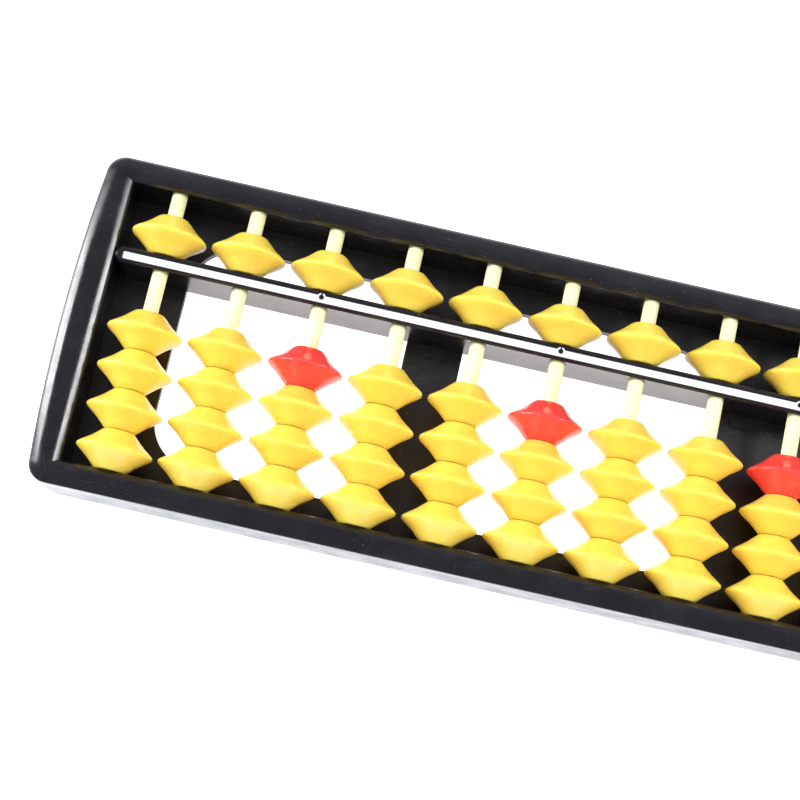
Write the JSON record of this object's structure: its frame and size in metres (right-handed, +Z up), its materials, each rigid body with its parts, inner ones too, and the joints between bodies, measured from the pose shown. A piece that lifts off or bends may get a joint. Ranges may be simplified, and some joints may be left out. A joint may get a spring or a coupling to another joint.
{
  "type": "abacus",
  "caption": "Desktop bead abacus: bicone beads slide on slender rods in a black plastic frame, divided by a deep bar with a white marked strip, over a base plate with windows.",
  "frame": {"origin": "middle of the underside, on the surface the frame lies on", "axes": "+X along the length of the frame, +Y from the beads below the bar towards the single beads, +Z up"},
  "size_m": [0.2672, 0.0618, 0.0181],
  "materials": {
    "black_frame": "glossy moulded black plastic",
    "black_plate": "fine-textured black plastic",
    "black_bar": "glossy moulded black plastic",
    "white_strip": "satin white plastic",
    "cream_rod": "satin cream plastic",
    "yellow_bead": "glossy slightly translucent yellow plastic",
    "red_bead": "glossy slightly translucent red plastic",
    "steel_screw": "plain steel"
  },
  "bodies": {
    "frame": {"frame": "black_frame", "base_plate": "black_plate", "reckoning_bar": "black_bar", "bar_inlay": "white_strip", "rods": "cream_rod", "base_screws": "steel_screw"},
    "heaven_01": {"heaven_bead_01": "yellow_bead"},
    "lower_01": {"lower_earth_beads_01": "yellow_bead"},
    "top_01": {"top_earth_bead_01": "yellow_bead"},
    "heaven_02": {"heaven_bead_02": "yellow_bead"},
    "lower_02": {"lower_earth_beads_02": "yellow_bead"},
    "top_02": {"top_earth_bead_02": "yellow_bead"},
    "heaven_03": {"heaven_bead_03": "yellow_bead"},
    "lower_03": {"lower_earth_beads_03": "yellow_bead"},
    "top_03": {"top_earth_bead_03": "red_bead"},
    "heaven_04": {"heaven_bead_04": "yellow_bead"},
    "lower_04": {"lower_earth_beads_04": "yellow_bead"},
    "top_04": {"top_earth_bead_04": "yellow_bead"},
    "heaven_05": {"heaven_bead_05": "yellow_bead"},
    "lower_05": {"lower_earth_beads_05": "yellow_bead"},
    "top_05": {"top_earth_bead_05": "yellow_bead"},
    "heaven_06": {"heaven_bead_06": "yellow_bead"},
    "lower_06": {"lower_earth_beads_06": "yellow_bead"},
    "top_06": {"top_earth_bead_06": "red_bead"},
    "heaven_07": {"heaven_bead_07": "yellow_bead"},
    "lower_07": {"lower_earth_beads_07": "yellow_bead"},
    "top_07": {"top_earth_bead_07": "yellow_bead"},
    "heaven_08": {"heaven_bead_08": "yellow_bead"},
    "lower_08": {"lower_earth_beads_08": "yellow_bead"},
    "top_08": {"top_earth_bead_08": "yellow_bead"},
    "heaven_09": {"heaven_bead_09": "yellow_bead"},
    "lower_09": {"lower_earth_beads_09": "yellow_bead"},
    "top_09": {"top_earth_bead_09": "red_bead"},
    "heaven_10": {"heaven_bead_10": "yellow_bead"},
    "lower_10": {"lower_earth_beads_10": "yellow_bead"},
    "top_10": {"top_earth_bead_10": "yellow_bead"},
    "heaven_11": {"heaven_bead_11": "yellow_bead"},
    "lower_11": {"lower_earth_beads_11": "yellow_bead"},
    "top_11": {"top_earth_bead_11": "yellow_bead"},
    "heaven_12": {"heaven_bead_12": "yellow_bead"},
    "lower_12": {"lower_earth_beads_12": "yellow_bead"},
    "top_12": {"top_earth_bead_12": "red_bead"},
    "heaven_13": {"heaven_bead_13": "yellow_bead"},
    "lower_13": {"lower_earth_beads_13": "yellow_bead"},
    "top_13": {"top_earth_bead_13": "yellow_bead"},
    "heaven_14": {"heaven_bead_14": "yellow_bead"},
    "lower_14": {"lower_earth_beads_14": "yellow_bead"},
    "top_14": {"top_earth_bead_14": "yellow_bead"},
    "heaven_15": {"heaven_bead_15": "yellow_bead"},
    "lower_15": {"lower_earth_beads_15": "yellow_bead"},
    "top_15": {"top_earth_bead_15": "red_bead"},
    "heaven_16": {"heaven_bead_16": "yellow_bead"},
    "lower_16": {"lower_earth_beads_16": "yellow_bead"},
    "top_16": {"top_earth_bead_16": "yellow_bead"},
    "heaven_17": {"heaven_bead_17": "yellow_bead"},
    "lower_17": {"lower_earth_beads_17": "yellow_bead"},
    "top_17": {"top_earth_bead_17": "yellow_bead"}
  },
  "joints": [
    {"name": "heaven_slide_01", "type": "slide", "parent": "frame", "child": "heaven_01", "axis": [0, 1, 0], "range_m": [0, 0.0046]},
    {"name": "lower_slide_01", "type": "slide", "parent": "frame", "child": "lower_01", "axis": [0, 1, 0], "range_m": [0, 0.0078]},
    {"name": "top_slide_01", "type": "slide", "parent": "lower_01", "child": "top_01", "axis": [0, -1, 0], "range_m": [-0.0078, 0]},
    {"name": "heaven_slide_02", "type": "slide", "parent": "frame", "child": "heaven_02", "axis": [0, 1, 0], "range_m": [0, 0.0046]},
    {"name": "lower_slide_02", "type": "slide", "parent": "frame", "child": "lower_02", "axis": [0, 1, 0], "range_m": [0, 0.0078]},
    {"name": "top_slide_02", "type": "slide", "parent": "lower_02", "child": "top_02", "axis": [0, -1, 0], "range_m": [-0.0078, 0]},
    {"name": "heaven_slide_03", "type": "slide", "parent": "frame", "child": "heaven_03", "axis": [0, 1, 0], "range_m": [0, 0.0046]},
    {"name": "lower_slide_03", "type": "slide", "parent": "frame", "child": "lower_03", "axis": [0, 1, 0], "range_m": [0, 0.0078]},
    {"name": "top_slide_03", "type": "slide", "parent": "lower_03", "child": "top_03", "axis": [0, -1, 0], "range_m": [-0.0078, 0]},
    {"name": "heaven_slide_04", "type": "slide", "parent": "frame", "child": "heaven_04", "axis": [0, 1, 0], "range_m": [0, 0.0046]},
    {"name": "lower_slide_04", "type": "slide", "parent": "frame", "child": "lower_04", "axis": [0, 1, 0], "range_m": [0, 0.0078]},
    {"name": "top_slide_04", "type": "slide", "parent": "lower_04", "child": "top_04", "axis": [0, -1, 0], "range_m": [-0.0078, 0]},
    {"name": "heaven_slide_05", "type": "slide", "parent": "frame", "child": "heaven_05", "axis": [0, 1, 0], "range_m": [0, 0.0046]},
    {"name": "lower_slide_05", "type": "slide", "parent": "frame", "child": "lower_05", "axis": [0, 1, 0], "range_m": [0, 0.0078]},
    {"name": "top_slide_05", "type": "slide", "parent": "lower_05", "child": "top_05", "axis": [0, -1, 0], "range_m": [-0.0078, 0]},
    {"name": "heaven_slide_06", "type": "slide", "parent": "frame", "child": "heaven_06", "axis": [0, 1, 0], "range_m": [0, 0.0046]},
    {"name": "lower_slide_06", "type": "slide", "parent": "frame", "child": "lower_06", "axis": [0, 1, 0], "range_m": [0, 0.0078]},
    {"name": "top_slide_06", "type": "slide", "parent": "lower_06", "child": "top_06", "axis": [0, -1, 0], "range_m": [-0.0078, 0]},
    {"name": "heaven_slide_07", "type": "slide", "parent": "frame", "child": "heaven_07", "axis": [0, 1, 0], "range_m": [0, 0.0046]},
    {"name": "lower_slide_07", "type": "slide", "parent": "frame", "child": "lower_07", "axis": [0, 1, 0], "range_m": [0, 0.0078]},
    {"name": "top_slide_07", "type": "slide", "parent": "lower_07", "child": "top_07", "axis": [0, -1, 0], "range_m": [-0.0078, 0]},
    {"name": "heaven_slide_08", "type": "slide", "parent": "frame", "child": "heaven_08", "axis": [0, 1, 0], "range_m": [0, 0.0046]},
    {"name": "lower_slide_08", "type": "slide", "parent": "frame", "child": "lower_08", "axis": [0, 1, 0], "range_m": [0, 0.0078]},
    {"name": "top_slide_08", "type": "slide", "parent": "lower_08", "child": "top_08", "axis": [0, -1, 0], "range_m": [-0.0078, 0]},
    {"name": "heaven_slide_09", "type": "slide", "parent": "frame", "child": "heaven_09", "axis": [0, 1, 0], "range_m": [0, 0.0046]},
    {"name": "lower_slide_09", "type": "slide", "parent": "frame", "child": "lower_09", "axis": [0, 1, 0], "range_m": [0, 0.0078]},
    {"name": "top_slide_09", "type": "slide", "parent": "lower_09", "child": "top_09", "axis": [0, -1, 0], "range_m": [-0.0078, 0]},
    {"name": "heaven_slide_10", "type": "slide", "parent": "frame", "child": "heaven_10", "axis": [0, 1, 0], "range_m": [0, 0.0046]},
    {"name": "lower_slide_10", "type": "slide", "parent": "frame", "child": "lower_10", "axis": [0, 1, 0], "range_m": [0, 0.0078]},
    {"name": "top_slide_10", "type": "slide", "parent": "lower_10", "child": "top_10", "axis": [0, -1, 0], "range_m": [-0.0078, 0]},
    {"name": "heaven_slide_11", "type": "slide", "parent": "frame", "child": "heaven_11", "axis": [0, 1, 0], "range_m": [0, 0.0046]},
    {"name": "lower_slide_11", "type": "slide", "parent": "frame", "child": "lower_11", "axis": [0, 1, 0], "range_m": [0, 0.0078]},
    {"name": "top_slide_11", "type": "slide", "parent": "lower_11", "child": "top_11", "axis": [0, -1, 0], "range_m": [-0.0078, 0]},
    {"name": "heaven_slide_12", "type": "slide", "parent": "frame", "child": "heaven_12", "axis": [0, 1, 0], "range_m": [0, 0.0046]},
    {"name": "lower_slide_12", "type": "slide", "parent": "frame", "child": "lower_12", "axis": [0, 1, 0], "range_m": [0, 0.0078]},
    {"name": "top_slide_12", "type": "slide", "parent": "lower_12", "child": "top_12", "axis": [0, -1, 0], "range_m": [-0.0078, 0]},
    {"name": "heaven_slide_13", "type": "slide", "parent": "frame", "child": "heaven_13", "axis": [0, 1, 0], "range_m": [0, 0.0046]},
    {"name": "lower_slide_13", "type": "slide", "parent": "frame", "child": "lower_13", "axis": [0, 1, 0], "range_m": [0, 0.0078]},
    {"name": "top_slide_13", "type": "slide", "parent": "lower_13", "child": "top_13", "axis": [0, -1, 0], "range_m": [-0.0078, 0]},
    {"name": "heaven_slide_14", "type": "slide", "parent": "frame", "child": "heaven_14", "axis": [0, 1, 0], "range_m": [0, 0.0046]},
    {"name": "lower_slide_14", "type": "slide", "parent": "frame", "child": "lower_14", "axis": [0, 1, 0], "range_m": [0, 0.0078]},
    {"name": "top_slide_14", "type": "slide", "parent": "lower_14", "child": "top_14", "axis": [0, -1, 0], "range_m": [-0.0078, 0]},
    {"name": "heaven_slide_15", "type": "slide", "parent": "frame", "child": "heaven_15", "axis": [0, 1, 0], "range_m": [0, 0.0046]},
    {"name": "lower_slide_15", "type": "slide", "parent": "frame", "child": "lower_15", "axis": [0, 1, 0], "range_m": [0, 0.0078]},
    {"name": "top_slide_15", "type": "slide", "parent": "lower_15", "child": "top_15", "axis": [0, -1, 0], "range_m": [-0.0078, 0]},
    {"name": "heaven_slide_16", "type": "slide", "parent": "frame", "child": "heaven_16", "axis": [0, 1, 0], "range_m": [0, 0.0046]},
    {"name": "lower_slide_16", "type": "slide", "parent": "frame", "child": "lower_16", "axis": [0, 1, 0], "range_m": [0, 0.0078]},
    {"name": "top_slide_16", "type": "slide", "parent": "lower_16", "child": "top_16", "axis": [0, -1, 0], "range_m": [-0.0078, 0]},
    {"name": "heaven_slide_17", "type": "slide", "parent": "frame", "child": "heaven_17", "axis": [0, 1, 0], "range_m": [0, 0.0046]},
    {"name": "lower_slide_17", "type": "slide", "parent": "frame", "child": "lower_17", "axis": [0, 1, 0], "range_m": [0, 0.0078]},
    {"name": "top_slide_17", "type": "slide", "parent": "lower_17", "child": "top_17", "axis": [0, -1, 0], "range_m": [-0.0078, 0]}
  ]
}
